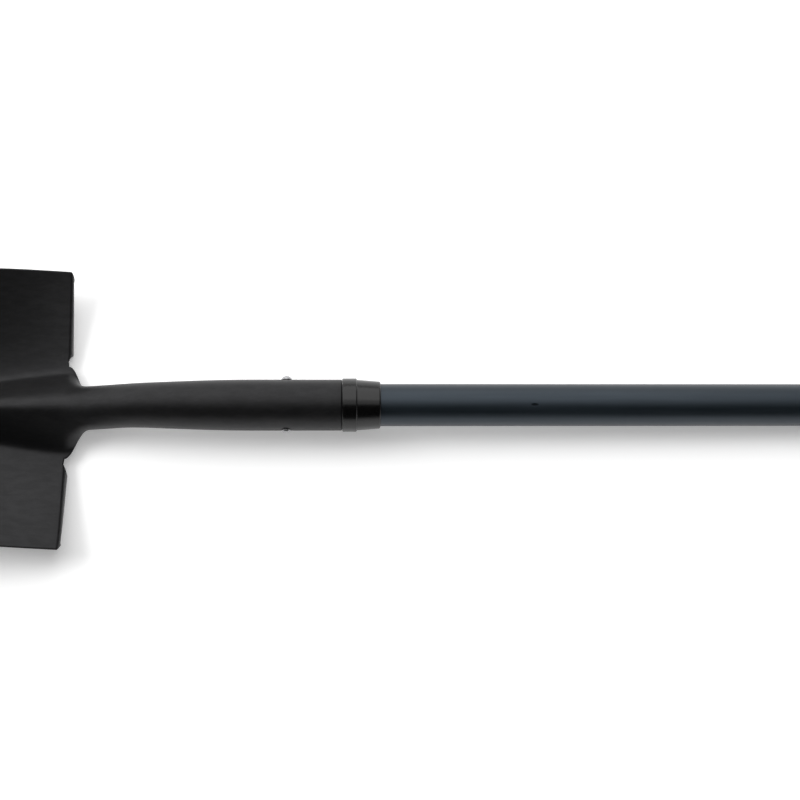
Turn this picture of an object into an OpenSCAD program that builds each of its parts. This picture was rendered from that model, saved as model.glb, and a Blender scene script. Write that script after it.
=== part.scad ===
// Camp shovel lying on its back, blade toward -X, front face up.
// Each piece is drawn along the shaft line, with x = 0 at the blade's shoulders
// and +Z on the front side, and lay() then sets the whole tool down on z = 0.

/* [Blade] */
// Width of the blade across its shoulders
blade_w = 229.5; // [215:0.5:250]
// Length of the blade from the shoulders to the point
blade_l = 275; // [250:1:310]
// Depth of the blade's middle behind the shaft line at the shoulders
blade_drop = 24.5; // [23:0.1:27]
// Height of the point in front of the shaft line
point_h = 45; // [35:1:60]
// Length of the level bottom before it rises to the point
level_l = 30; // [10:1:60]
// Half width of the flat bottom of the dish
flat_half_w = 20; // [10:0.5:30]
// Depth of the side edges behind the shaft line at the shoulders
edge_drop = 4.9; // [0:0.1:8]
// Rise of the side edges toward the point, in degrees
edge_rise = 14.1; // [12:0.1:17]
// Narrowing of each side edge toward the point, in degrees
side_taper = 1.4; // [0:0.1:3]
// Rise of the shoulders from the steps' inner ends to the outer corners
shoulder_rise = 1.7; // [0:0.1:3]
// Rounding of the point: higher is blunter
nose_bluntness = 3; // [2.4:0.1:4]
// Thickness of the steel sheet
sheet_t = 2; // [1.5:0.1:2.4]

/* [Frog] */
// Length of the raised frog down the blade
frog_l = 148; // [130:1:180]
// Slope of the frog's flanks, in degrees
frog_side = 50; // [47:0.5:53]
// Radius of the frog's crest at the shoulders, which sharpens toward the point
frog_r = 13; // [10:0.5:15]
// Softness of the hollow along the frog's foot
frog_fillet = 4; // [3:0.5:6]

/* [Foot steps] */
// Outside radius of the bend that turns each step back
step_r = 3.4; // [3:0.1:4.5]
// Distance of the bend's start below the notch beside the neck
step_back = 0.8; // [0:0.1:1.2]
// Straight depth of the step behind its bend
step_flange = 8.5; // [7:0.5:12]
// Distance of each step's inner end from the shaft line
step_in = 43; // [41:0.5:48]
// Length over which a step fades out beside the neck
step_ease = 4; // [3:0.5:7]
// Length over which a step fades out at the outer corner
step_fade = 7; // [5:0.5:12]

/* [Neck and socket] */
// Half width of the strap that rolls up into the socket
strap_half_w = 38; // [36:0.5:40]
// Outside radius of the neck
neck_r = 17.6; // [17:0.1:18.2]
// Place where the strap has closed round into the neck
neck_x = 22; // [18:0.5:26]
// Slope of the neck behind the shaft line
neck_slope = 0.25; // [0.2:0.01:0.27]
// Place where the neck starts to bend away from the shaft line
bend_x = 70; // [66:1:76]
// Length of that bend
bend_l = 24; // [20:1:40]
// Outside radius of the socket
socket_r = 20.5; // [20.3:0.1:21.5]
// Place where the neck starts to widen into the socket
flare_x = 50; // [45:1:56]
// Length over which it widens
flare_l = 105; // [90:1:110]
// Place of the socket's mouth
mouth_x = 224; // [215:1:240]
// Width of the open seam along the back
seam_gap = 0.8; // [0.4:0.1:2]

/* [Shaft] */
// Outside diameter of the tube
tube_d = 34; // [33:0.1:34.2]
// Wall of the tube
tube_wall = 3.5; // [2.5:0.1:5]
// Lower end of the tube inside the socket
tube_x = 102; // [100:1:112]
// Whole length of the tube
tube_l = 598; // [560:1:700]
// Length of the dowel inside the tube's lower end
lower_core_l = 130; // [110:1:160]
// Length of the dowel inside the tube's upper end
upper_core_l = 60; // [50:1:80]

/* [Ferrule] */
// Width of the ring that covers the socket's mouth
ring_l = 11.5; // [8:0.5:16]
// Outside diameter of the ring
ring_d = 43; // [42.5:0.1:46]
// Length of the tapered nose
nose_l = 19.2; // [14:0.1:26]
// Diameter of the nose beside the ring
nose_d1 = 40.8; // [39:0.1:41.5]
// Diameter of the nose at its end
nose_d2 = 37.8; // [36.8:0.1:38.5]
// Length of the sleeve between the tube and the socket
sleeve_l = 66; // [56:1:70]
// Rounding of the edges of the ferrule and of the boss's mouth
edge_round = 1.2; // [0.6:0.1:1.4]

/* [Rivets] */
// Distance of the socket rivet from the socket's mouth
socket_rivet_back = 44.5; // [40:0.5:50]
// Diameter of the rivet shanks
rivet_d = 6; // [4:0.1:7]
// Diameter of a rivet's domed head
rivet_head_d = 9.2; // [8.4:0.1:11]
// Height of that head
rivet_head_h = 3.7; // [2:0.1:4]
// Diameter of the set end
rivet_tail_d = 7.4; // [7.2:0.1:8]
// Height of the set end
rivet_tail_h = 1.8; // [1:0.1:2]

/* [Hand grip] */
// Length of the boss that takes the tube
boss_l = 62; // [54:1:80]
// Depth of the tube in the boss
boss_depth = 50; // [44:1:52]
// Outside diameter of the boss at its mouth
boss_d1 = 39.5; // [39:0.1:40.4]
// Outside diameter of the boss at its root
boss_d2 = 41; // [40.5:0.1:41.4]
// Rounding of the boss's root
boss_round = 8; // [4:0.5:12]
// Distance of the grip rivet from the boss's mouth
grip_rivet_in = 24; // [18:1:30]
// Distance between the middles of the two arms at the bar
arm_span = 116; // [108:1:126]
// Distance between them where they leave the boss
arm_root = 22; // [18:1:24]
// Length of the arms' curve along the shaft line
arm_l = 96; // [86:1:110]
// Width of an arm seen from the front
arm_w = 17; // [14:0.5:20]
// Thickness of an arm from front to back
arm_t = 26; // [22:0.5:30]
// Share by which an arm narrows in its middle
arm_waist = 0.16; // [0:0.01:0.3]
// Diameter of the cross bar inside its sleeve
bar_d = 27; // [24:0.5:28]
// Diameter of the bar's end knobs
knob_d = 33; // [31:0.5:34]
// Width of each end knob
knob_w = 17; // [16:0.5:20]
// Rounding of the knobs
knob_round = 6; // [3:0.5:7]
// Diameter of the soft sleeve in the middle of the bar
grip_d = 39; // [38.5:0.5:41]
// Diameter of the soft sleeve at its ends
grip_end_d = 34; // [31:0.5:35]
// Number of finger grooves round the sleeve
grip_grooves = 5; // [3:1:7]
// Depth of the finger grooves
groove_depth = 1.2; // [0.5:0.1:1.6]
// Width of the finger grooves
groove_w = 3; // [2:0.1:4]

/* [Clearances] */
// Sliding gap between pieces that nest
fit_gap = 0.1; // [0.05:0.01:0.2]

/* [Hidden] */
$fn = 96;

steel = [0.13, 0.13, 0.14];
plastic = [0.05, 0.05, 0.055];
slate = [0.2, 0.24, 0.28];
bright = [0.75, 0.75, 0.77];
timber = [0.7, 0.56, 0.38];
rubber = [0.1, 0.1, 0.1];

// Mesh of the head: columns across the strap and each wing, rows along it
strap_cols = 14;
wing_cols = 12;
frog_rows = 20;
point_rows = 13;
blend_rows = 8;
neck_rows = 7;
flare_rows = 8;
bend_rows = 4;
point_reach = 0.97;
step_of_slope = 0.05;

// Curves of the head: powers, the sharpest crest as a share of its radius, and the
// angle to which the strap has wrapped where the neck starts
nose_power = 0.6;
rise_power = 1.6;
dish_power = 1.45;
frog_power = 1.7;
flare_power = 1.3;
crest_share = 0.15;
strap_wrap = 150;

tube_r = tube_d / 2;
bore_r = tube_r - tube_wall;
tube_end = tube_x + tube_l;
socket_rivet_x = mouth_x - socket_rivet_back;
boss_x = tube_end - boss_depth;
grip_rivet_x = boss_x + grip_rivet_in;
root_x = boss_x + boss_l;
bar_x = root_x + arm_l;
grip_half = arm_span / 2 - knob_w / 2;
frog_h = neck_r + neck_z(0) + blade_drop;
seam_angle = asin(seam_gap / 2 / neck_r);
strap_facet = (180 - seam_angle) / strap_cols / 2;
socket_bore = (socket_r - sheet_t) * cos(strap_facet);

function boss_r(x) =
  let (t = (x - boss_x - edge_round) / (boss_l - boss_round - edge_round))
  mix(boss_d1, boss_d2, t) / 2;
function unit(v) = v / norm(v);
function smooth(t) = t <= 0 ? 0 : t >= 1 ? 1 : t * t * (3 - 2 * t);
function mix(p, q, t) = p + (q - p) * t;

// Blade: a runs from the shoulders to the point, y across
function nose(a) = pow(max(0, 1 - pow(a / blade_l, nose_bluntness)), nose_power);
function half_w(a) = (blade_w / 2 - a * tan(side_taper)) * nose(a);
function middle_z(a) =
  mix(-blade_drop, point_h, pow(max(0, a - level_l) / (blade_l - level_l), rise_power));
function dish_z(a, y) =
  let (out = max(0, abs(y) - flat_half_w) / (blade_w / 2 - flat_half_w))
  mix(middle_z(a), a * tan(edge_rise) - edge_drop, pow(out, dish_power));
function frog_z(a, y) =
  let (gone = max(0, a) / frog_l, r = frog_r * max(crest_share, 1 - gone))
  middle_z(a) + frog_h * (1 - pow(gone, frog_power)) - tan(frog_side) * (norm([y, r]) - r);
function blade_point(a, y) =
  let (dish = dish_z(a, y), frog = frog_z(a, y))
  [-a, y, (dish + frog + norm([dish - frog, frog_fillet])) / 2];
function blade_down(a, y) =
  (blade_point(a + step_of_slope, y) - blade_point(a - step_of_slope, y)) / (2 * step_of_slope);
function blade_across(a, y) =
  (blade_point(a, y + step_of_slope) - blade_point(a, y - step_of_slope)) / (2 * step_of_slope);
function blade_normal(a, y) = unit(cross(blade_across(a, y), blade_down(a, y)));

// The steps start below the notch and rise outward, and each row of the mesh follows less
function fall(y) =
  step_back * smooth((abs(y) - strap_half_w) / (step_in - strap_half_w))
  - shoulder_rise * smooth((abs(y) - step_in) / (blade_w / 2 - step_in));
function fallen(a, y) = a + fall(y) * pow(1 - a / blade_l, 2);

// Neck and socket: rings round a centre line that drops behind the shaft
function neck_z(x) =
  x >= bend_x ? 0
  : x >= bend_x - bend_l ? -neck_slope * pow(bend_x - x, 2) / (2 * bend_l)
  : -neck_slope * (bend_x - bend_l / 2 - x);
function neck_radius(x) =
  let (t = min(1, max(0, (x - flare_x) / flare_l)))
  neck_r + (socket_r - neck_r) * pow(sin(90 * t), flare_power);
function wrap(x) = mix(strap_wrap, 180 - seam_angle, smooth((x - neck_x) / (bend_x - neck_x)));
function ring_point(x, v) =
  let (r = neck_radius(x), turn = v * wrap(x))
  [x, r * sin(turn), neck_z(x) + r * cos(turn)];
function ring_normal(x, v) = let (turn = v * wrap(x)) [0, sin(turn), cos(turn)];
function ring_along(x, v) =
  (ring_point(x + step_of_slope, v) - ring_point(x - step_of_slope, v)) / (2 * step_of_slope);

// Strap between the blade's shoulders and the first ring: a smooth cubic
function strap_point(s, v) =
  let (
    y = v * strap_half_w,
    s2 = s * s,
    s3 = s2 * s
  ) blade_point(0, y) * (2 * s3 - 3 * s2 + 1)
    - blade_down(0, y) * neck_x * (s3 - 2 * s2 + s)
    + ring_point(neck_x, v) * (3 * s2 - 2 * s3)
    + ring_along(neck_x, v) * neck_x * (s3 - s2);
function strap_normal(s, v) =
  let (e = 0.002)
  unit(cross(
    strap_point(s + e, v) - strap_point(s - e, v),
    strap_point(s, v + e) - strap_point(s, v - e)
  ));

// Foot step: the sheet rolls back round the bend, then runs straight, and both fade
// out at its ends, the straight part first
function step_share(y) =
  let (
    inner = min(1, max(0, (abs(y) - step_in) / step_ease)),
    outer = min(1, max(0, (shoulder_half - abs(y)) / step_fade))
  ) max(0.1, min(asin(inner), acos(1 - outer)) / 90);
function step_point(b, y) =
  let (
    share = step_share(y),
    turn = min(90, b) * share,
    a = fall(y),
    out = -unit(blade_down(a, y)),
    front = blade_normal(a, y),
    flange = b > 90 ? step_flange * mix(0.05, 1, pow(share, 6)) : 0
  ) blade_point(a, y)
    + (step_r * sin(turn) + flange * cos(turn)) * out
    - (step_r * (1 - cos(turn)) + flange * sin(turn)) * front;
function step_normal(b, y) =
  let (turn = min(90, b) * step_share(y), a = fall(y))
  unit(cos(turn) * blade_normal(a, y) - sin(turn) * unit(blade_down(a, y)));

// Rows and columns of the head's mesh
shoulder_half = half_w(0);
strap_share = strap_half_w / shoulder_half;
wing_share = step_in / shoulder_half;
wing = [
  for (k = [0:wing_cols - 1]) mix(wing_share, 1, (1 - cos(180 * k / (wing_cols - 1))) / 2)
];
strap = [for (k = [-strap_cols:strap_cols]) k / strap_cols];
columns = concat(
  [for (k = [wing_cols - 1:-1:0]) -wing[k]],
  strap * strap_share,
  wing
);
rows = concat(
  [for (k = [0:frog_rows]) frog_l * k / frog_rows],
  [for (k = [1:point_rows]) mix(frog_l, blade_l, sin(90 * point_reach * k / point_rows))]
);
rings = concat(
  [for (k = [0:neck_rows - 1]) mix(neck_x, bend_x, k / neck_rows)],
  [for (k = [0:flare_rows]) mix(bend_x, flare_x + flare_l, k / flare_rows)],
  [mouth_x]
);
blends = [for (k = [1:blend_rows - 1]) k / blend_rows];
bends = concat([for (k = [1:bend_rows]) 90 * k / bend_rows], [180]);

n_cols = len(columns);
n_strap = len(strap);
blade_places = [for (a = rows) for (c = columns) let (y = c * half_w(a)) [fallen(a, y), y]];
blade_front = [for (p = blade_places) blade_point(p.x, p.y)];
blade_out = [for (p = blade_places) blade_normal(p.x, p.y)];
strap_front = concat(
  [for (s = blends) for (v = strap) strap_point(s, v)],
  [for (x = rings) for (v = strap) ring_point(x, v)]
);
strap_out = concat(
  [for (s = blends) for (v = strap) strap_normal(s, v)],
  [for (x = rings) for (v = strap) ring_normal(x, v)]
);
step_cols = concat(
  [for (k = [wing_cols - 1:-1:0]) -wing[k] * shoulder_half],
  wing * shoulder_half
);
step_front = [for (b = bends) for (y = step_cols) step_point(b, y)];
step_out = [for (b = bends) for (y = step_cols) step_normal(b, y)];
sheet_front = concat(blade_front, strap_front, step_front);
sheet_out = concat(blade_out, strap_out, step_out);
sheet_back = [for (i = [0:len(sheet_front) - 1]) sheet_front[i] - sheet_t * sheet_out[i]];

// Index of each mesh point; row 0 of the strap and of the steps is the blade's row 0
n_rows = len(rows);
n_strap_rows = len(blends) + len(rings);
n_bends = len(bends);
first_strap = len(blade_front);
first_step = first_strap + len(strap_front);
back = len(sheet_front);
function at_blade(i, j) = i * n_cols + j;
function at_strap(k, j) =
  k == 0 ? at_blade(0, wing_cols + j) : first_strap + (k - 1) * n_strap + j;
function at_step(b, j) =
  b == 0 ? at_blade(0, j < wing_cols ? j : j + n_strap)
  : first_step + (b - 1) * 2 * wing_cols + j;
function quad(p, q, r, s) = [[p, q, r], [p, r, s]];

front_quads = concat(
  [for (i = [0:n_rows - 2]) for (j = [0:n_cols - 2])
    quad(at_blade(i, j), at_blade(i + 1, j), at_blade(i + 1, j + 1), at_blade(i, j + 1))],
  [for (k = [0:n_strap_rows - 1]) for (j = [0:n_strap - 2])
    quad(at_strap(k, j), at_strap(k, j + 1), at_strap(k + 1, j + 1), at_strap(k + 1, j))],
  [for (b = [0:n_bends - 1]) for (j = [0:2 * wing_cols - 2]) if (j != wing_cols - 1)
    quad(at_step(b, j), at_step(b, j + 1), at_step(b + 1, j + 1), at_step(b + 1, j))]
);
front_faces = [for (two = front_quads) each two];
function step_edge(j0, j1) = concat(
  [for (b = [0:n_bends]) at_step(b, j0)],
  [for (j = [j0 + 1:j1 - 1]) at_step(n_bends, j)],
  [for (b = [n_bends:-1:0]) at_step(b, j1)]
);
edge = concat(
  [for (i = [n_rows - 1:-1:1]) at_blade(i, 0)],
  step_edge(0, wing_cols - 1),
  [for (k = [0:n_strap_rows]) at_strap(k, 0)],
  [for (j = [1:n_strap - 2]) at_strap(n_strap_rows, j)],
  [for (k = [n_strap_rows:-1:0]) at_strap(k, n_strap - 1)],
  step_edge(wing_cols, 2 * wing_cols - 1),
  [for (i = [1:n_rows - 1]) at_blade(i, n_cols - 1)],
  [for (j = [n_cols - 2:-1:1]) at_blade(n_rows - 1, j)]
);
edge_faces = [
  for (i = [0:len(edge) - 1])
    let (p = edge[i], q = edge[(i + 1) % len(edge)])
    each quad(p, q, q + back, p + back)
];
back_faces = [for (f = front_faces) [f[0] + back, f[2] + back, f[1] + back]];

// Arms of the grip: an oval section swept in a double curve from the boss to the bar
arm_rings = 20;
arm_sides = 20;
arm_squareness = 0.75;
arm_x = root_x - boss_l / 4;
function arm_mid(t) =
  [mix(arm_x, bar_x, t), mix(arm_root, arm_span, smooth((t - 0.1) / 0.82)) / 2, 0];
function rounded(c) = sign(c) * pow(abs(c), arm_squareness);
function arm_point(t, q) =
  let (
    along = unit(arm_mid(t + 0.01) - arm_mid(t - 0.01)),
    waist = 1 - arm_waist * sin(180 * t),
    turn = 360 * q / arm_sides
  ) arm_mid(t) + [-along.y, along.x, 0] * rounded(cos(turn)) * arm_w / 2 * waist
    + [0, 0, rounded(sin(turn)) * arm_t / 2 * waist];
function arm_at(k, q) = k * arm_sides + q;

// The tool lies on the lowest point of its steps and on its grip
step_ends = [for (share = wing) step_point(180, share * shoulder_half)];
heel_z = min([for (p = step_ends) p.z]);
heel = [for (p = step_ends) if (p.z == heel_z) p][0];
tip = blade_point(rows[n_rows - 1], 0);
reach = [bar_x - heel.x, -heel.z];
pitch = atan2(reach.y, reach.x) - asin(grip_d / 2 / norm(reach));
floor_drop = bar_x * sin(pitch) + grip_d / 2;
tip_x = tip.x * cos(pitch) + tip.z * sin(pitch);
grip_x = bar_x * cos(pitch) + grip_d / 2;

module lay() {
  translate([-(tip_x + grip_x) / 2, 0, floor_drop]) rotate([0, pitch, 0]) children();
}

// A solid of revolution about the shaft line, from a profile of [x, radius]
module turned() {
  rotate([0, 90, 0]) rotate([0, 0, 90]) rotate_extrude() children();
}

module cross_hole(x) {
  translate([x, 0, 0]) rotate([90, 0, 0])
    cylinder(h = 3 * socket_r, r = rivet_d / 2 + fit_gap, center = true);
}

// Rivet along Y with its head on the +Y side, over a seat of radius seat_r
module rivet(x, seat_r) {
  head_r = rivet_head_d / 2;
  dome_r = (head_r * head_r + rivet_head_h * rivet_head_h) / (2 * rivet_head_h);
  seat = seat_r + fit_gap;
  translate([x, 0, 0]) rotate([-90, 0, 0]) {
    translate([0, 0, -seat - rivet_tail_h / 2])
      cylinder(h = 2 * seat + (rivet_tail_h + rivet_head_h) / 2, d = rivet_d);
    translate([0, 0, seat]) intersection() {
      translate([0, 0, rivet_head_h - dome_r]) sphere(r = dome_r);
      cylinder(h = rivet_head_h, d = 2 * dome_r);
    }
    translate([0, 0, -seat - rivet_tail_h])
      cylinder(h = rivet_tail_h, d1 = rivet_tail_d - rivet_tail_h, d2 = rivet_tail_d);
  }
}

module head() {
  color(steel) lay() difference() {
    polyhedron(
      points = concat(sheet_front, sheet_back),
      faces = concat(front_faces, back_faces, edge_faces)
    );
    cross_hole(socket_rivet_x);
  }
}

module ferrule() {
  bore = tube_r + fit_gap;
  ring_r = ring_d / 2;
  ring_x = mouth_x + ring_l;
  nose_x = ring_x + nose_l;
  e = edge_round;
  color(plastic) lay() difference() {
    turned() {
      polygon([
        [bore, mouth_x - sleeve_l], [socket_bore - fit_gap, mouth_x - sleeve_l],
        [socket_bore - fit_gap, mouth_x], [ring_r - e, mouth_x], [ring_r, mouth_x + e],
        [ring_r, ring_x - e], [ring_r - e, ring_x], [nose_d1 / 2, ring_x],
        [nose_d2 / 2, nose_x - e], [nose_d2 / 2 - e, nose_x], [bore, nose_x]
      ]);
    }
    cross_hole(socket_rivet_x);
  }
}

module socket_rivet() {
  color(bright) lay() rivet(socket_rivet_x, socket_r);
}

module shaft_tube() {
  color(slate) lay() difference() {
    translate([tube_x, 0, 0]) rotate([0, 90, 0]) difference() {
      cylinder(h = tube_l, r = tube_r);
      translate([0, 0, -1]) cylinder(h = tube_l + 2, r = bore_r);
    }
    cross_hole(socket_rivet_x);
    cross_hole(grip_rivet_x);
  }
}

module dowel(x, l, rivet_x) {
  difference() {
    translate([x, 0, 0]) rotate([0, 90, 0]) cylinder(h = l, r = bore_r - fit_gap);
    cross_hole(rivet_x);
  }
}

module lower_core() {
  color(timber) lay() dowel(tube_x, lower_core_l, socket_rivet_x);
}

module upper_core() {
  color(timber) lay() dowel(tube_end - upper_core_l, upper_core_l, grip_rivet_x);
}

module arm() {
  polyhedron(
    points = [for (k = [0:arm_rings]) for (q = [0:arm_sides - 1]) arm_point(k / arm_rings, q)],
    faces = concat(
      [for (k = [0:arm_rings - 1]) for (q = [0:arm_sides - 1]) let (p = (q + 1) % arm_sides)
        each quad(arm_at(k, q), arm_at(k + 1, q), arm_at(k + 1, p), arm_at(k, p))],
      [[for (q = [0:arm_sides - 1]) arm_at(0, q)]],
      [[for (q = [arm_sides - 1:-1:0]) arm_at(arm_rings, q)]]
    )
  );
}

module knob() {
  r = knob_d / 2;
  rotate([90, 0, 0]) rotate_extrude() union() {
    translate([0, -knob_w / 2]) square([r - knob_round, knob_w]);
    translate([0, knob_round - knob_w / 2]) square([r, knob_w - 2 * knob_round]);
    for (side = [-1, 1])
      translate([r - knob_round, side * (knob_w / 2 - knob_round)]) circle(r = knob_round);
  }
}

module grip_yoke() {
  color(plastic) lay() difference() {
    union() {
      turned() polygon([
        [0, boss_x], [boss_d1 / 2 - edge_round, boss_x], [boss_d1 / 2, boss_x + edge_round],
        [boss_d2 / 2, root_x - boss_round], [boss_d2 / 2 - boss_round / 2, root_x], [0, root_x]
      ]);
      for (side = [0, 1]) mirror([0, side, 0]) {
        arm();
        translate([bar_x, arm_span / 2, 0]) knob();
      }
      translate([bar_x, 0, 0]) rotate([90, 0, 0])
        cylinder(h = arm_span, d = bar_d, center = true);
    }
    translate([boss_x - 1, 0, 0]) rotate([0, 90, 0])
      cylinder(h = boss_depth + 1, r = tube_r + fit_gap);
    cross_hole(grip_rivet_x);
  }
}

module grip_sleeve() {
  half = grip_half - fit_gap;
  bulge = (grip_d - grip_end_d) / 2;
  pitch_y = 2 * half / (grip_grooves + 1);
  crown_r = (half * half + bulge * bulge) / (2 * bulge);
  color(rubber) lay() translate([bar_x, 0, 0]) rotate([90, 0, 0]) rotate_extrude() difference() {
    intersection() {
      translate([bar_d / 2 + fit_gap, -half]) square([grip_d, 2 * half]);
      translate([grip_d / 2 - crown_r, 0]) circle(r = crown_r, $fn = 360);
    }
    for (k = [1:grip_grooves]) {
      y = k * pitch_y - half;
      surface_r = grip_d / 2 - crown_r + sqrt(crown_r * crown_r - y * y);
      translate([surface_r + groove_w / 2 - groove_depth, y]) circle(d = groove_w);
    }
  }
}

module grip_rivet() {
  color(bright) lay() rivet(grip_rivet_x, boss_r(grip_rivet_x));
}

head();
ferrule();
socket_rivet();
shaft_tube();
lower_core();
upper_core();
grip_yoke();
grip_sleeve();
grip_rivet();
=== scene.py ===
import math

import bpy
import numpy as np
from mathutils import Matrix, Vector

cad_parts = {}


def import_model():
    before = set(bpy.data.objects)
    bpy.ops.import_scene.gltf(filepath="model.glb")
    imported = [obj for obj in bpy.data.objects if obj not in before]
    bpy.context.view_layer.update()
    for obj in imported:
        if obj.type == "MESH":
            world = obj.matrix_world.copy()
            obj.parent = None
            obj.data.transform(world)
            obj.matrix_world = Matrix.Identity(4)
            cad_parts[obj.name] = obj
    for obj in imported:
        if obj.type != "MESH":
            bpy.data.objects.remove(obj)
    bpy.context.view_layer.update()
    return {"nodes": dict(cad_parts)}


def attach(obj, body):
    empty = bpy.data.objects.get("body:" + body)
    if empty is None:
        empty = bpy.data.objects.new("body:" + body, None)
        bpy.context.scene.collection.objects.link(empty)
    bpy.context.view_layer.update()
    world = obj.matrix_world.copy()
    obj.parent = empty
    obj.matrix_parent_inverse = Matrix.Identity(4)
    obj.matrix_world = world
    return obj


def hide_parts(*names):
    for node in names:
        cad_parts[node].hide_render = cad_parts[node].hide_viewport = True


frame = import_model()

# Sizes in millimetres, in the shaft's own frame: x = 0 at the blade's shoulders
BLADE_W, BLADE_L, DROP, POINT_H, LEVEL_L, FLAT_HALF_W = 229.5, 275.0, 24.5, 45.0, 30.0, 20.0
EDGE_DROP, EDGE_RISE, TAPER = 4.9, math.radians(14.1), math.radians(1.4)
BLUNT, SHEET = 3.0, 2.0
FROG_L, FROG_SIDE, FROG_R, FROG_FILLET = 148.0, math.radians(50.0), 13.0, 4.0
STEP_R, STEP_BACK, STEP_FLANGE, STEP_IN, STEP_EASE, STEP_FADE = 3.4, 0.8, 8.5, 43.0, 4.0, 7.0
SHOULDER_RISE = 1.7
STRAP_HALF_W, NECK_R, NECK_X, NECK_SLOPE = 38.0, 17.6, 22.0, 0.25
BEND_X, BEND_L = 70.0, 24.0
SOCKET_R, FLARE_X, FLARE_L = 20.5, 50.0, 105.0
MOUTH_X, SEAM_GAP = 224.0, 0.8
TUBE_R, TUBE_WALL, TUBE_X, TUBE_L = 17.0, 3.5, 102.0, 598.0
RING_L, RING_R, NOSE_L, NOSE_R1, NOSE_R2 = 11.5, 21.5, 19.2, 20.4, 18.9
SOCKET_RIVET_X, GRIP_RIVET_X = 179.5, 674.0
RIVET_R, RIVET_HEAD_R, RIVET_HEAD_H, RIVET_TAIL_R, RIVET_TAIL_H = 3.0, 4.6, 3.7, 3.7, 1.8
BOSS_X, BOSS_L, BOSS_R1, BOSS_R2 = 650.0, 62.0, 19.75, 20.5
ARM_SPAN, ARM_ROOT, ARM_W, ARM_T, ARM_WAIST = 116.0, 22.0, 17.0, 26.0, 0.16
BAR_X, BAR_R, KNOB_R, KNOB_W, KNOB_ROUND = 808.0, 13.5, 16.5, 17.0, 6.0
GRIP_R, GRIP_END_R, GRIP_GROOVES, GROOVE_W, GROOVE_DEPTH = 19.5, 17.0, 5, 3.0, 1.2
ROOT_X = BOSS_X + BOSS_L
EDGE = SHEET / 2
FIT_GAP = 0.1
# Small radius that closes a turned piece on its axis
AXIS_R = 0.01

# Powers and shares of the head's curves
NOSE_POWER, RISE_POWER, DISH_POWER, FROG_POWER, FLARE_POWER = 0.6, 1.6, 1.45, 1.7, 1.3
CREST_SHARE, STRAP_WRAP = 0.15, 150.0
# Least share of a step's turn and of its flange where it fades out
TURN_LEAST, FLANGE_LEAST, FLANGE_POWER = 0.1, 0.05, 6
# Distances for slopes by difference, in millimetres and as a share of the strap
SLOPE_STEP, STRAP_STEP = 0.05, 0.002


def smooth(t):
    t = np.clip(t, 0.0, 1.0)
    return t * t * (3.0 - 2.0 * t)


def unit(v):
    return v / np.linalg.norm(v, axis=-1, keepdims=True)


# Head surface, the same formulas as the part's source
def half_w(a):
    nose = np.maximum(0.0, 1.0 - (a / (BLADE_L - EDGE)) ** BLUNT) ** NOSE_POWER
    return (BLADE_W / 2 - EDGE - a * math.tan(TAPER)) * nose


def neck_z(x):
    curve = -NECK_SLOPE * (BEND_X - x) ** 2 / (2 * BEND_L)
    line = -NECK_SLOPE * (BEND_X - BEND_L / 2 - x)
    return np.where(x >= BEND_X, 0.0, np.where(x >= BEND_X - BEND_L, curve, line))


FROG_H = NECK_R + float(neck_z(np.array(0.0))) + DROP


def blade_point(a, y):
    a, y = np.broadcast_arrays(np.asarray(a, float), np.asarray(y, float))
    rise = (np.maximum(0.0, a - LEVEL_L) / (BLADE_L - LEVEL_L)) ** RISE_POWER
    middle = (POINT_H + DROP) * rise - DROP
    out = np.maximum(0.0, np.abs(y) - FLAT_HALF_W) / (BLADE_W / 2 - FLAT_HALF_W)
    dish = middle + (a * math.tan(EDGE_RISE) - EDGE_DROP - middle) * out**DISH_POWER
    gone = np.maximum(0.0, a) / FROG_L
    r = FROG_R * np.maximum(CREST_SHARE, 1 - gone)
    frog = middle + FROG_H * (1 - gone**FROG_POWER) - math.tan(FROG_SIDE) * (np.hypot(y, r) - r)
    return np.stack([-a, y, (dish + frog + np.hypot(dish - frog, FROG_FILLET)) / 2], -1)


def blade_down(a, y):
    return (blade_point(a + SLOPE_STEP, y) - blade_point(a - SLOPE_STEP, y)) / (2 * SLOPE_STEP)


def blade_normal(a, y):
    across = blade_point(a, y + SLOPE_STEP) - blade_point(a, y - SLOPE_STEP)
    return unit(np.cross(across, blade_down(a, y)))


def fall(y):
    """Distance of the shoulder line from x = 0 toward the point."""
    back = STEP_BACK * smooth((np.abs(y) - STRAP_HALF_W) / (STEP_IN - STRAP_HALF_W))
    return back - SHOULDER_RISE * smooth((np.abs(y) - STEP_IN) / (BLADE_W / 2 - STEP_IN))


def neck_radius(x):
    t = np.clip((x - FLARE_X) / FLARE_L, 0.0, 1.0)
    return NECK_R + (SOCKET_R - NECK_R) * np.sin(math.pi / 2 * t) ** FLARE_POWER


def ring_turn(x, v):
    """Angle round the neck for v from -1 to 1, which closes from STRAP_WRAP to the seam."""
    closed = 180.0 - math.degrees(math.asin(SEAM_GAP / 2 / NECK_R))
    share = smooth((x - NECK_X) / (BEND_X - NECK_X))
    return v * np.radians(STRAP_WRAP + (closed - STRAP_WRAP) * share)


def ring_point(x, v):
    x, v = np.broadcast_arrays(np.asarray(x, float), np.asarray(v, float))
    r, turn = neck_radius(x), ring_turn(x, v)
    return np.stack([x, r * np.sin(turn), neck_z(x) + r * np.cos(turn)], -1)


def ring_normal(x, v):
    turn = ring_turn(x, v)
    return np.stack([0 * turn, np.sin(turn), np.cos(turn)], -1)


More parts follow.
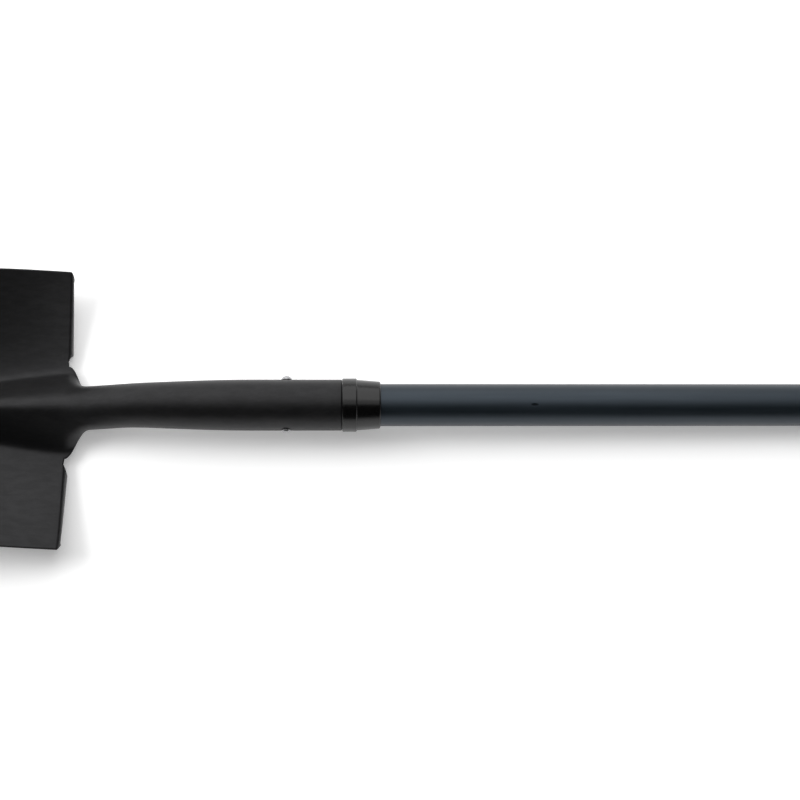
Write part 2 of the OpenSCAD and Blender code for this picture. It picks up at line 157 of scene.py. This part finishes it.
def strap_point(s, v):
    """Hermite curve from the blade's edge at s = 0 to the first ring of the neck at s = 1."""
    y = v * STRAP_HALF_W
    start, end = blade_point(0.0, y), ring_point(NECK_X, v)
    leave = -blade_down(0.0, y) * NECK_X
    ahead, behind = ring_point(NECK_X + SLOPE_STEP, v), ring_point(NECK_X - SLOPE_STEP, v)
    arrive = (ahead - behind) / (2 * SLOPE_STEP) * NECK_X
    s = np.asarray(s)[..., None]
    s2, s3 = s**2, s**3
    return (start * (2 * s3 - 3 * s2 + 1) + leave * (s3 - 2 * s2 + s)
            + end * (3 * s2 - 2 * s3) + arrive * (s3 - s2))


def strap_normal(s, v):
    along = strap_point(s + STRAP_STEP, v) - strap_point(s - STRAP_STEP, v)
    across = strap_point(s, v + STRAP_STEP) - strap_point(s, v - STRAP_STEP)
    return unit(np.cross(along, across))


def step_point(turn, depth, y):
    """Point and normal of a step, after a turn in radians and a straight depth."""
    inner = np.clip((np.abs(y) - STEP_IN - EDGE) / STEP_EASE, 0.0, 1.0)
    outer = np.clip((half_w(np.array(0.0)) - np.abs(y)) / STEP_FADE, 0.0, 1.0)
    share = np.minimum(np.arcsin(inner), np.arccos(1 - outer)) / (math.pi / 2)
    share = np.maximum(TURN_LEAST, share)[..., None]
    a = fall(y)
    out, front = -unit(blade_down(a, y)), blade_normal(a, y)
    s, c = np.sin(turn * share), np.cos(turn * share)
    depth = depth * (FLANGE_LEAST + (1 - FLANGE_LEAST) * share**FLANGE_POWER)
    point = blade_point(a, y) + (STEP_R * s + depth * c) * out - (STEP_R * (1 - c) + depth * s) * front
    return point, unit(c * front + s * out)


# The tool lies on the lowest points of its steps and on its grip, as in the part's source
PITCH, FLOOR_DROP, SHIFT = math.radians(0.93702), 32.7135, -276.653
LAY = Matrix.Translation((SHIFT / 1000, 0, FLOOR_DROP / 1000)) @ Matrix.Rotation(PITCH, 4, "Y")


def lay(points):
    p = np.asarray(points, float).reshape(-1, 3)
    s, c = math.sin(PITCH), math.cos(PITCH)
    x = p[:, 0] * c + p[:, 2] * s + SHIFT
    z = p[:, 2] * c - p[:, 0] * s + FLOOR_DROP
    return np.stack([x, p[:, 1], z], -1) / 1000.0


def piece(name, points, faces, node, material):
    mesh = bpy.data.meshes.new(name)
    mesh.from_pydata([tuple(p) for p in lay(points)], [], faces)
    mesh.validate()
    mesh.update()
    mesh.shade_smooth()
    obj = bpy.data.objects.new(name, mesh)
    bpy.context.scene.collection.objects.link(obj)
    mesh.materials.append(material)
    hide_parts(node)
    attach(obj, "root")
    return obj


def lathe(profile, sides, axis="x", origin=(0.0, 0.0, 0.0)):
    """Closed solid of revolution from [along, radius] points, about x or y through origin."""
    ang = np.linspace(0, 2 * math.pi, sides, endpoint=False)
    pts, faces = [], []
    for u, r in profile:
        for t in ang:
            if axis == "x":
                pts.append((origin[0] + u, origin[1] + r * math.sin(t), origin[2] + r * math.cos(t)))
            else:
                pts.append((origin[0] + r * math.cos(t), origin[1] + u, origin[2] + r * math.sin(t)))
    n = len(profile)
    flip = axis == "x"
    for k in range(n - 1):
        for q in range(sides):
            p = (q + 1) % sides
            f = (k * sides + q, k * sides + p, (k + 1) * sides + p, (k + 1) * sides + q)
            faces.append(f if flip else f[::-1])
    first = tuple(range(sides))
    last = tuple(range((n - 1) * sides, n * sides))
    if abs(profile[0][0] - profile[-1][0]) + abs(profile[0][1] - profile[-1][1]) > 1e-6:
        faces.append(first[::-1] if flip else first)
        faces.append(last if flip else last[::-1])
    return pts, faces


def fillet(corners, radii, steps=6):
    """Corner list with each inner corner rounded by its radius."""
    out = [corners[0]]
    for k in range(1, len(corners) - 1):
        p, c, q = (np.array(corners[i], float) for i in (k - 1, k, k + 1))
        r = radii[k]
        if r <= 0:
            out.append(tuple(c))
            continue
        d1, d2 = unit(p - c), unit(q - c)
        cos_half = math.sqrt(max(1e-9, (1 + float(d1 @ d2)) / 2))
        reach = r * cos_half / math.sqrt(max(1e-9, 1 - cos_half**2))
        for t in np.linspace(0, 1, steps + 1):
            m = c + d1 * reach * (1 - t) ** 2 + d2 * reach * t**2
            out.append(tuple(m))
    out.append(corners[-1])
    return out


# Materials
class Look:
    """Principled material with helpers; coordinates in millimetres along the shaft."""

    def __init__(self, name):
        self.mat = bpy.data.materials.new(name)
        self.mat.use_nodes = True
        self.tree = self.mat.node_tree
        self.bsdf = self.tree.nodes["Principled BSDF"]
        coord = self.node("ShaderNodeTexCoord")
        place = self.node("ShaderNodeMapping")
        place.vector_type = "TEXTURE"
        place.inputs["Location"].default_value = (SHIFT / 1000, 0, FLOOR_DROP / 1000)
        place.inputs["Rotation"].default_value = (0, PITCH, 0)
        place.inputs["Scale"].default_value = (0.001, 0.001, 0.001)
        self.link(coord.outputs["Object"], place.inputs["Vector"])
        self.at = place.outputs["Vector"]

    def node(self, kind):
        return self.tree.nodes.new(kind)

    def link(self, a, b):
        self.tree.links.new(a, b)

    def put(self, value, socket):
        if hasattr(value, "is_output"):
            self.link(value, socket)
        else:
            socket.default_value = value

    def stretch(self, scale):
        m = self.node("ShaderNodeMapping")
        m.inputs["Scale"].default_value = scale
        self.link(self.at, m.inputs["Vector"])
        return m.outputs["Vector"]

    def noise(self, scale, detail=3.0, rough=0.55, at=None):
        n = self.node("ShaderNodeTexNoise")
        n.inputs["Scale"].default_value = scale
        n.inputs["Detail"].default_value = detail
        n.inputs["Roughness"].default_value = rough
        self.link(self.at if at is None else at, n.inputs["Vector"])
        return n.outputs["Fac"]

    def math(self, op, a, b=0.0, c=0.0, clamp=False):
        n = self.node("ShaderNodeMath")
        n.operation = op
        n.use_clamp = clamp
        for value, socket in zip((a, b, c), n.inputs):
            self.put(value, socket)
        return n.outputs[0]

    def span(self, value, lo, hi, to_lo=0.0, to_hi=1.0, soft=True):
        n = self.node("ShaderNodeMapRange")
        n.interpolation_type = "SMOOTHSTEP" if soft else "LINEAR"
        self.put(value, n.inputs["Value"])
        for key, v in (("From Min", lo), ("From Max", hi), ("To Min", to_lo), ("To Max", to_hi)):
            n.inputs[key].default_value = v
        return n.outputs["Result"]

    def mix(self, fac, a, b):
        n = self.node("ShaderNodeMix")
        n.data_type = "RGBA"
        self.put(fac, n.inputs["Factor"])
        for value, key in ((a, "A"), (b, "B")):
            socket = [s for s in n.inputs if s.name == key and s.type == "RGBA"][0]
            self.put(value if hasattr(value, "is_output") else (*value, 1.0), socket)
        return [s for s in n.outputs if s.type == "RGBA"][0]

    def split(self):
        n = self.node("ShaderNodeSeparateXYZ")
        self.link(self.at, n.inputs[0])
        return n.outputs

    def far(self, x, y, z, wide=(1.0, 1.0, 1.0)):
        """Distance from a point, in millimetres, each axis divided by wide."""
        o = self.split()
        parts = [self.math("MULTIPLY", self.math("SUBTRACT", o[i], c), 1.0 / w)
                 for i, (c, w) in enumerate(zip((x, y, z), wide))]
        total = self.math("MULTIPLY", parts[0], parts[0])
        for q in parts[1:]:
            total = self.math("ADD", total, self.math("MULTIPLY", q, q))
        return self.math("SQRT", total)

    def bump(self, height, strength, distance_mm):
        n = self.node("ShaderNodeBump")
        n.inputs["Strength"].default_value = strength
        n.inputs["Distance"].default_value = distance_mm / 1000.0
        self.link(height, n.inputs["Height"])
        last = self.bsdf.inputs["Normal"]
        if last.is_linked:
            self.link(last.links[0].from_socket, n.inputs["Normal"])
        self.link(n.outputs["Normal"], last)

    def set(self, **values):
        for key, value in values.items():
            socket = self.bsdf.inputs[key.replace("_", " ").title()
                                      .replace("Ior", "IOR")]
            if key == "base_color" and not hasattr(value, "is_output"):
                value = (*value, 1.0)
            self.put(value, socket)


def head_coat():
    m = Look("head_coat")
    broad = m.noise(0.02, 4.0)
    grain = m.noise(1.6, 2.0)
    drawn = m.noise(0.22, 5.0, 0.65, m.stretch((0.35, 1.0, 1.0)))
    rub = m.span(m.noise(0.35, 6.0, 0.7, m.stretch((0.25, 1.0, 1.0))), 0.62, 0.78)
    tone = m.mix(m.span(broad, 0.3, 0.7), (0.0038, 0.0038, 0.0040), (0.0054, 0.0053, 0.0054))
    tone = m.mix(m.math("MULTIPLY", rub, 0.35), tone, (0.012, 0.012, 0.012))
    m.set(base_color=tone, specular_ior_level=m.span(drawn, 0.3, 0.7, 0.27, 0.35))
    m.set(specular_tint=(0.97, 0.97, 1.0, 1.0))
    rough = m.math("ADD", m.span(grain, 0.3, 0.7, 0.38, 0.46), m.span(drawn, 0.3, 0.7, 0.0, 0.04))
    m.set(roughness=m.math("ADD", rough, m.math("MULTIPLY", rub, 0.06)))
    m.bump(grain, 0.20, 0.10)
    m.bump(drawn, 0.06, 0.25)
    m.bump(m.noise(0.12, 2.0), 0.08, 0.5)
    return m.mat


def ferrule_gloss():
    m = Look("ferrule_gloss")
    haze = m.noise(0.25, 5.0)
    lines = m.noise(1.0, 3.0, 0.6, m.stretch((4.0, 0.4, 0.4)))
    tone = m.mix(m.span(haze, 0.35, 0.7), (0.0006, 0.0006, 0.0006), (0.0016, 0.0015, 0.0015))
    m.set(base_color=tone, roughness=m.span(lines, 0.3, 0.75, 0.20, 0.26), specular_ior_level=0.42)
    m.bump(lines, 0.05, 0.05)
    return m.mat


def tube_shell():
    m = Look("tube_shell")
    streak = m.noise(1.0, 4.0, 0.6, m.stretch((0.012, 0.6, 0.6)))
    cloud = m.noise(0.03, 4.0)
    tone = m.mix(m.span(cloud, 0.3, 0.7), (0.0038, 0.0060, 0.0078), (0.0052, 0.0080, 0.0102))
    tone = m.mix(m.span(streak, 0.35, 0.75, 0.0, 0.4), tone, (0.0070, 0.0100, 0.0126))
    dent = m.span(m.far(377.0, -4.0, 16.5, (3.2, 1.5, 6.0)), 0.35, 1.0, 1.0, 0.0)
    # Darker colour and a lower specular level over a small patch round the dent
    dent_dark_patch = m.span(m.far(377.2, -3.9, 16.5, (4.0, 1.5, 6.0)), 0.4, 1.0, 1.0, 0.0)
    tone = m.mix(m.math("MULTIPLY", dent_dark_patch, 0.7), tone, (0.002, 0.0025, 0.003))
    shine = m.math("MULTIPLY_ADD", dent_dark_patch, -0.5, 0.60)
    m.set(base_color=tone, specular_ior_level=shine, specular_tint=(0.72, 0.85, 1.0, 1.0))
    m.set(roughness=m.span(streak, 0.3, 0.7, 0.34, 0.44))
    m.bump(streak, 0.10, 0.12)
    m.bump(m.noise(2.2, 2.0), 0.08, 0.06)
    m.bump(m.math("SUBTRACT", 1.0, dent), 0.3, 0.4)
    return m.mat


def rivet_steel():
    m = Look("rivet_steel")
    scuff = m.noise(2.5, 5.0, 0.7)
    tone = m.mix(m.span(scuff, 0.35, 0.7), (0.34, 0.34, 0.35), (0.58, 0.58, 0.59))
    m.set(base_color=tone, metallic=1.0, roughness=m.span(scuff, 0.3, 0.7, 0.22, 0.42))
    m.bump(scuff, 0.15, 0.1)
    return m.mat


def grip_plastic():
    m = Look("grip_plastic")
    o = m.split()
    grain = m.noise(1.1, 3.0, 0.6)
    broad = m.noise(0.04, 4.0)
    tone = m.mix(m.span(broad, 0.3, 0.7), (0.0125, 0.0125, 0.0130), (0.0175, 0.0175, 0.0180))
    m.set(base_color=tone, roughness=m.span(grain, 0.3, 0.7, 0.42, 0.55))
    m.bump(grain, 0.25, 0.18)
    seam = m.span(m.math("ABSOLUTE", o[2]), 0.15, 0.45, 1.0, 0.0)
    m.bump(seam, 0.5, 0.25)
    return m.mat


def grip_rubber():
    m = Look("grip_rubber")
    grain = m.noise(1.8, 4.0, 0.65)
    broad = m.noise(0.05, 4.0)
    tone = m.mix(m.span(broad, 0.3, 0.7), (0.0110, 0.0110, 0.0110), (0.0170, 0.0168, 0.0165))
    m.set(base_color=tone, roughness=m.span(grain, 0.3, 0.7, 0.68, 0.82), specular_ior_level=0.35)
    dots = m.node("ShaderNodeTexVoronoi")
    dots.inputs["Scale"].default_value = 0.55
    m.link(m.at, dots.inputs["Vector"])
    m.bump(m.span(dots.outputs["Distance"], 0.15, 0.5, 1.0, 0.0), 0.35, 0.35)
    m.bump(grain, 0.2, 0.15)
    return m.mat


def core_wood():
    m = Look("core_wood")
    fibre = m.noise(1.0, 5.0, 0.6, m.stretch((0.05, 1.2, 1.2)))
    rings = m.noise(0.35, 2.0, 0.5, m.stretch((0.08, 1.0, 1.0)))
    tone = m.mix(m.span(rings, 0.35, 0.65), (0.50, 0.34, 0.18), (0.62, 0.45, 0.26))
    tone = m.mix(m.span(fibre, 0.45, 0.75, 0.0, 0.5), tone, (0.36, 0.22, 0.11))
    m.set(base_color=tone, roughness=m.span(fibre, 0.3, 0.7, 0.6, 0.75))
    m.bump(fibre, 0.3, 0.3)
    return m.mat


COAT, GLOSS, SHELL, STEEL = head_coat(), ferrule_gloss(), tube_shell(), rivet_steel()
PLASTIC, RUBBER, WOOD = grip_plastic(), grip_rubber(), core_wood()


def build_head():
    strap_n, wing_n = 32, 24
    half0 = float(half_w(np.array(0.0)))
    strap = np.linspace(-1, 1, 2 * strap_n + 1)
    step_in = STEP_IN + EDGE
    wing = step_in + (half0 - step_in) * (1 - np.cos(np.linspace(0, math.pi, wing_n))) / 2
    cols = np.concatenate([-wing[::-1], strap * STRAP_HALF_W, wing]) / half0
    rows = np.concatenate([
        np.linspace(0, FROG_L, 61),
        FROG_L + (BLADE_L - EDGE - FROG_L) * np.sin(math.pi / 2 * 0.985 * np.linspace(0, 1, 44)[1:]),
    ])
    n_cols, n_strap, n_rows = len(cols), len(strap), len(rows)
    y = cols[None, :] * half_w(rows)[:, None]
    a = rows[:, None] + fall(y) * (1 - rows[:, None] / BLADE_L) ** 2
    front = [blade_point(a, y).reshape(-1, 3)]
    normal = [blade_normal(a, y).reshape(-1, 3)]
    s = np.linspace(0, 1, 22)[1:-1]
    front.append(strap_point(s[:, None] + 0 * strap, strap[None, :] + 0 * s[:, None]).reshape(-1, 3))
    normal.append(strap_normal(s[:, None] + 0 * strap, strap[None, :] + 0 * s[:, None]).reshape(-1, 3))
    flare_end = FLARE_X + FLARE_L
    rings = np.concatenate([
        np.linspace(NECK_X, flare_end, 64), np.linspace(flare_end, MOUTH_X - EDGE, 12)[1:]
    ])
    front.append(ring_point(rings[:, None], strap[None, :]).reshape(-1, 3))
    normal.append(ring_normal(rings[:, None], strap[None, :]).reshape(-1, 3))
    step_y = np.concatenate([-wing[::-1], wing])
    turns = np.linspace(0, math.pi / 2, 9)[1:]
    depths = np.linspace(0, STEP_FLANGE - EDGE, 4)[1:]
    for turn, depth in [(t, 0.0) for t in turns] + [(math.pi / 2, d) for d in depths]:
        p, n = step_point(turn, depth, step_y)
        front.append(p)
        normal.append(n)
    n_steps = len(turns) + len(depths)
    front, normal = np.concatenate(front), np.concatenate(normal)
    n_strap_rows = len(s) + len(rings)
    first_strap = n_rows * n_cols
    first_step = first_strap + n_strap_rows * n_strap

    def at_blade(i, j):
        return i * n_cols + j

    def at_strap(k, j):
        return at_blade(0, wing_n + j) if k == 0 else first_strap + (k - 1) * n_strap + j

    def at_step(b, j):
        if b == 0:
            return at_blade(0, j if j < wing_n else j + n_strap)
        return first_step + (b - 1) * 2 * wing_n + j

    def quad(at, k, j):
        return at(k, j), at(k, j + 1), at(k + 1, j + 1), at(k + 1, j)

    # Blade rows run down from the shoulders, strap and step rows up, so the blade's quads turn over
    quads = []
    for i in range(n_rows - 1):
        for j in range(n_cols - 1):
            first, *others = quad(at_blade, i, j)
            quads.append((first, *others[::-1]))
    for k in range(n_strap_rows):
        for j in range(n_strap - 1):
            quads.append(quad(at_strap, k, j))
    for b in range(n_steps):
        for j in range(2 * wing_n - 1):
            if j != wing_n - 1:
                quads.append(quad(at_step, b, j))

    def step_edge(j0, j1):
        return ([at_step(b, j0) for b in range(n_steps + 1)]
                + [at_step(n_steps, j) for j in range(j0 + 1, j1)]
                + [at_step(b, j1) for b in range(n_steps, -1, -1)])

    edge = ([at_blade(i, 0) for i in range(n_rows - 1, 0, -1)]
            + step_edge(0, wing_n - 1)
            + [at_strap(k, 0) for k in range(n_strap_rows + 1)]
            + [at_strap(n_strap_rows, j) for j in range(1, n_strap - 1)]
            + [at_strap(k, n_strap - 1) for k in range(n_strap_rows, -1, -1)]
            + step_edge(wing_n, 2 * wing_n - 1)
            + [at_blade(i, n_cols - 1) for i in range(1, n_rows)]
            + [at_blade(n_rows - 1, j) for j in range(n_cols - 2, 0, -1)])
    back = len(front)
    pts = [front, front - SHEET * normal]
    faces = [q[::-1] for q in quads] + [tuple(v + back for v in q) for q in quads]
    # Rounded sheet edge: half rings from the front face round to the back face
    loop = np.array(edge)
    p, n = front[loop], normal[loop]
    along = np.roll(p, -1, 0) - np.roll(p, 1, 0)
    out = unit(np.cross(along, n))
    mid = p - EDGE * n
    ids = [loop]
    count = 2 * back
    for t in np.linspace(0, math.pi, 8)[1:-1]:
        pts.append(mid + EDGE * (n * math.cos(t) + out * math.sin(t)))
        ids.append(np.arange(count, count + len(loop)))
        count += len(loop)
    ids.append(loop + back)
    m = len(loop)
    for k in range(len(ids) - 1):
        for i in range(m):
            j = (i + 1) % m
            faces.append((int(ids[k][i]), int(ids[k + 1][i]), int(ids[k + 1][j]), int(ids[k][j])))
    return piece("head_sheet", np.concatenate(pts), [tuple(int(v) for v in f) for f in faces],
                 "head", COAT)


def build_ferrule():
    r = TUBE_R + FIT_GAP
    x0, x1, x2 = MOUTH_X, MOUTH_X + RING_L, MOUTH_X + RING_L + NOSE_L
    outline = [(x0, r), (x0, RING_R), (x1, RING_R), (x1 + 0.4, NOSE_R1), (x2, NOSE_R2), (x2, r)]
    prof = fillet(outline, [0, 1.3, 1.1, 0.35, 1.5, 0], 7)
    pts, faces = lathe(prof, 160)
    return piece("ferrule_collar", pts, faces, "ferrule", GLOSS)


def build_rivet(name, x, seat, node):
    seat = seat + FIT_GAP
    tail, bevel = -seat - RIVET_TAIL_H, 0.25
    dome = (RIVET_HEAD_R**2 + RIVET_HEAD_H**2) / (2 * RIVET_HEAD_H)
    prof = [(tail, AXIS_R)]
    prof += fillet([(tail, 1.2), (tail, RIVET_TAIL_R - RIVET_TAIL_H / 2),
                    (-seat, RIVET_TAIL_R), (-seat, RIVET_R)], [0, 0.6, 0.3, 0], 5)
    prof += [(seat, RIVET_R), (seat, RIVET_HEAD_R - bevel), (seat + bevel, RIVET_HEAD_R)]
    top = math.atan2(RIVET_HEAD_R, dome - RIVET_HEAD_H)
    for t in np.linspace(top * 0.94, 0.01, 12):
        prof.append((seat + RIVET_HEAD_H - dome + dome * math.cos(t), dome * math.sin(t)))
    pts, faces = lathe(prof, 48, "y", (x, 0, 0))
    return piece(name, pts, faces, node, STEEL)


def build_tube():
    r, b = TUBE_R, TUBE_R - TUBE_WALL
    x0, x1, bevel = TUBE_X, TUBE_X + TUBE_L, 0.6
    span = [(x, r) for x in np.linspace(x0 + bevel, x1 - bevel, 120)]
    prof = [(x0, b), (x0, r - bevel)] + span + [(x1, r - bevel), (x1, b), (x0, b)]
    pts, faces = lathe(prof, 160)
    return piece("tube", pts, faces, "shaft_tube", SHELL)


def arm_mid(t):
    """Point on the middle line of the +Y arm, from the boss at t = 0 to the bar at t = 1."""
    x0 = ROOT_X - BOSS_L / 4
    x = x0 + (BAR_X - x0) * t
    spread = float(smooth((t - 0.1) / 0.82))
    return np.array([x, (ARM_ROOT + (ARM_SPAN - ARM_ROOT) * spread) / 2, 0.0])


def build_yoke():
    pts, faces = [], []

    def add(more, quads, mirror=False):
        start = len(pts)
        for p in more:
            pts.append((p[0], -p[1], p[2]) if mirror else tuple(p))
        for f in quads:
            f = f[::-1] if mirror else f
            faces.append(tuple(start + v for v in f))

    groove_r = BOSS_R1 - 0.9
    boss = fillet([(BOSS_X, AXIS_R), (BOSS_X, BOSS_R1), (BOSS_X + 6, BOSS_R1), (BOSS_X + 8, groove_r),
                   (BOSS_X + 12, groove_r), (BOSS_X + 14, BOSS_R1 + 0.1),
                   (ROOT_X - 6, BOSS_R2), (ROOT_X, BOSS_R2 - 7), (ROOT_X, AXIS_R)],
                  [0, 1.2, 0.8, 0.8, 0.8, 0.8, 5, 2, 0], 6)
    add(*lathe(boss, 96))
    # Arms with a section between an oval and a rectangle
    sides, n, oval_power = 32, 48, 0.75
    for mirror in (False, True):
        rim, quads = [], []
        for k in range(n + 1):
            t = k / n
            c = arm_mid(t)
            d = unit(arm_mid(t + 0.01) - arm_mid(t - 0.01))
            waist = 1 - ARM_WAIST * math.sin(math.pi * t)
            for q in range(sides):
                w = 2 * math.pi * q / sides
                cc, ss = math.cos(w), math.sin(w)
                e1 = math.copysign(abs(cc) ** oval_power, cc) * ARM_W / 2 * waist
                e2 = math.copysign(abs(ss) ** oval_power, ss) * ARM_T / 2 * waist
                rim.append((c[0] - d[1] * e1, c[1] + d[0] * e1, e2))
        for k in range(n):
            for q in range(sides):
                p = (q + 1) % sides
                quads.append((k * sides + q, k * sides + p, (k + 1) * sides + p, (k + 1) * sides + q))
        quads.append(tuple(range(sides))[::-1])
        quads.append(tuple(range(n * sides, (n + 1) * sides)))
        add(rim, quads, mirror)
    h = KNOB_W / 2
    knob = fillet([(-h, AXIS_R), (-h, KNOB_R), (h, KNOB_R), (h, AXIS_R)],
                  [0, KNOB_ROUND, KNOB_ROUND, 0], 8)
    for side in (-1, 1):
        add(*lathe(knob, 72, "y", (BAR_X, side * ARM_SPAN / 2, 0)))
    add(*lathe([(-ARM_SPAN / 2, BAR_R), (ARM_SPAN / 2, BAR_R)], 72, "y", (BAR_X, 0, 0)))
    obj = piece("d_grip", pts, faces, "grip_yoke", PLASTIC)
    skin = obj.modifiers.new("skin", "REMESH")
    skin.mode = "VOXEL"
    skin.voxel_size = 0.0009
    skin.use_smooth_shade = True
    soft = obj.modifiers.new("soft", "SMOOTH")
    soft.factor = 0.5
    soft.iterations = 7
    return obj


def build_sleeve():
    half = ARM_SPAN / 2 - KNOB_W / 2 - FIT_GAP
    bore, end_r, bevel = BAR_R + FIT_GAP, GRIP_END_R - 1.0, 0.6
    bulge = GRIP_R - GRIP_END_R
    crown = (half**2 + bulge**2) / (2 * bulge)
    gap = 2 * half / (GRIP_GROOVES + 1)
    # A groove reaches a little past its half width and gets there in a soft flank
    reach, flank = 1.35, 0.9
    prof = [(-half, bore), (-half, end_r)]
    for u in np.linspace(-half + bevel, half - bevel, 360):
        r = GRIP_R - crown + math.sqrt(crown**2 - u * u)
        for k in range(1, GRIP_GROOVES + 1):
            d = abs(u - (k * gap - half)) / (GROOVE_W / 2)
            if d < reach:
                r -= GROOVE_DEPTH * float(smooth((reach - d) / flank))
        prof.append((u, r))
    prof += [(half, end_r), (half, bore), (-half, bore)]
    pts, faces = lathe(prof, 128, "y", (BAR_X, 0, 0))
    return piece("grip_sleeve_soft", pts, faces, "grip_sleeve", RUBBER)


build_head()
build_ferrule()
build_rivet("socket_rivet_bright", SOCKET_RIVET_X, SOCKET_R, "socket_rivet")
build_tube()
build_yoke()
build_sleeve()
build_rivet("grip_rivet_bright", GRIP_RIVET_X, BOSS_R1 + 0.4, "grip_rivet")
for name in ("lower_core", "upper_core"):
    core = frame["nodes"][name]
    core.data.materials.clear()
    core.data.materials.append(WOOD)


# Stage: pale floor, soft light, camera at the photograph's angle
def background_rays(tree):
    """1 for the rays that show the background: camera, glossy and transmission rays."""
    path = tree.nodes.new("ShaderNodeLightPath")
    seen = path.outputs["Is Camera Ray"]
    for kind in ("Is Glossy Ray", "Is Transmission Ray"):
        either = tree.nodes.new("ShaderNodeMath")
        either.operation = "MAXIMUM"
        tree.links.new(seen, either.inputs[0])
        tree.links.new(path.outputs[kind], either.inputs[1])
        seen = either.outputs[0]
    return seen


def floor():
    half = 16
    mesh = bpy.data.meshes.new("floor")
    corners = [(-half, -half, 0), (half, -half, 0), (half, half, 0), (-half, half, 0)]
    mesh.from_pydata(corners, [], [(0, 1, 2, 3)])
    obj = bpy.data.objects.new("floor", mesh)
    bpy.context.scene.collection.objects.link(obj)
    mat = bpy.data.materials.new("floor_white")
    mat.use_nodes = True
    tree = mat.node_tree
    bsdf = tree.nodes["Principled BSDF"]
    bsdf.inputs["Roughness"].default_value = 1.0
    bsdf.inputs["Specular IOR Level"].default_value = 0.0
    bsdf.inputs["Emission Color"].default_value = (1.0, 1.0, 1.0, 1.0)
    # Seen directly or in a reflection the floor is white paper, also far from the lights
    seen = background_rays(tree)
    tone = tree.nodes.new("ShaderNodeMapRange")
    tone.inputs["To Min"].default_value = 0.62
    tone.inputs["To Max"].default_value = 0.87
    tree.links.new(seen, tone.inputs["Value"])
    tree.links.new(tone.outputs["Result"], bsdf.inputs["Base Color"])
    place = tree.nodes.new("ShaderNodeTexCoord")
    far = tree.nodes.new("ShaderNodeVectorMath")
    far.operation = "LENGTH"
    level = tree.nodes.new("ShaderNodeMapRange")
    for key, value in (("From Min", 1.2), ("From Max", 4.0), ("To Min", 0.30), ("To Max", 1.0)):
        level.inputs[key].default_value = value
    shown = tree.nodes.new("ShaderNodeMath")
    shown.operation = "MULTIPLY"
    tree.links.new(place.outputs["Object"], far.inputs[0])
    tree.links.new(far.outputs["Value"], level.inputs["Value"])
    tree.links.new(level.outputs["Result"], shown.inputs[0])
    tree.links.new(seen, shown.inputs[1])
    tree.links.new(shown.outputs[0], bsdf.inputs["Emission Strength"])
    mesh.materials.append(mat)


def world():
    """Dark room with a white band round the horizon, the same for every ray."""
    w = bpy.data.worlds.new("studio")
    bpy.context.scene.world = w
    w.use_nodes = True
    tree = w.node_tree
    bg = tree.nodes["Background"]
    bg.inputs["Color"].default_value = (1.0, 1.0, 1.0, 1.0)
    place = tree.nodes.new("ShaderNodeTexCoord")
    axes = tree.nodes.new("ShaderNodeSeparateXYZ")
    level = tree.nodes.new("ShaderNodeMapRange")
    for key, value in (("From Min", 0.10), ("From Max", 0.28), ("To Min", 1.0), ("To Max", 0.03)):
        level.inputs[key].default_value = value
    tree.links.new(place.outputs["Generated"], axes.inputs[0])
    tree.links.new(axes.outputs["Z"], level.inputs["Value"])
    tree.links.new(level.outputs["Result"], bg.inputs["Strength"])


def softbox(name, place, aim, size, power):
    data = bpy.data.lights.new(name, "AREA")
    data.shape = "RECTANGLE"
    data.size, data.size_y = size
    data.energy = power
    obj = bpy.data.objects.new(name, data)
    bpy.context.scene.collection.objects.link(obj)
    obj.location = place
    obj.rotation_euler = (Vector(aim) - Vector(place)).to_track_quat("-Z", "Y").to_euler()
    return obj


def camera():
    """Camera over the tube beside the collar, tilted and turned as in the photograph."""
    dist, tilt, yaw = 1120.0, math.radians(15.13), math.radians(2.4)
    focal_px, aim_x, aim_up = 1393.0, 270.52, 4.09
    image_px, sensor_mm = 800.0, 36.0
    up = Vector((0, math.cos(tilt), math.sin(tilt)))
    down = Vector((0, math.sin(tilt), -math.cos(tilt)))
    look = down * math.cos(yaw) + Vector((1, 0, 0)) * math.sin(yaw)
    right = look.cross(up)
    place = Vector((aim_x, 0, 0)) + up * aim_up - look * dist
    axes = Matrix((right, up, -look)).transposed().to_4x4()
    data = bpy.data.cameras.new("camera")
    data.sensor_width = sensor_mm
    data.lens = focal_px * sensor_mm / image_px
    data.clip_start, data.clip_end = 0.01, 50.0
    obj = bpy.data.objects.new("camera", data)
    bpy.context.scene.collection.objects.link(obj)
    obj.matrix_world = LAY @ Matrix.Translation(place / 1000) @ axes
    bpy.context.scene.camera = obj


floor()
world()
softbox("key", (-3.0, 3.15, 2.88), (-3.0, 1.587, 0.0), (10.2, 5.79), 345.0)
softbox("top", (-3.0, -0.15, 4.35), (-3.0, -0.15, 0.0), (10.2, 1.56), 46.0)
# The side light only shades the floor and dull surfaces; glossy ones show the two strips
softbox("side", (-5.2, 1.6, 4.9), (0.0, 0.0, 0.0), (3.6, 3.6), 300.0).visible_glossy = False
camera()
bpy.context.scene.view_settings.view_transform = "Standard"
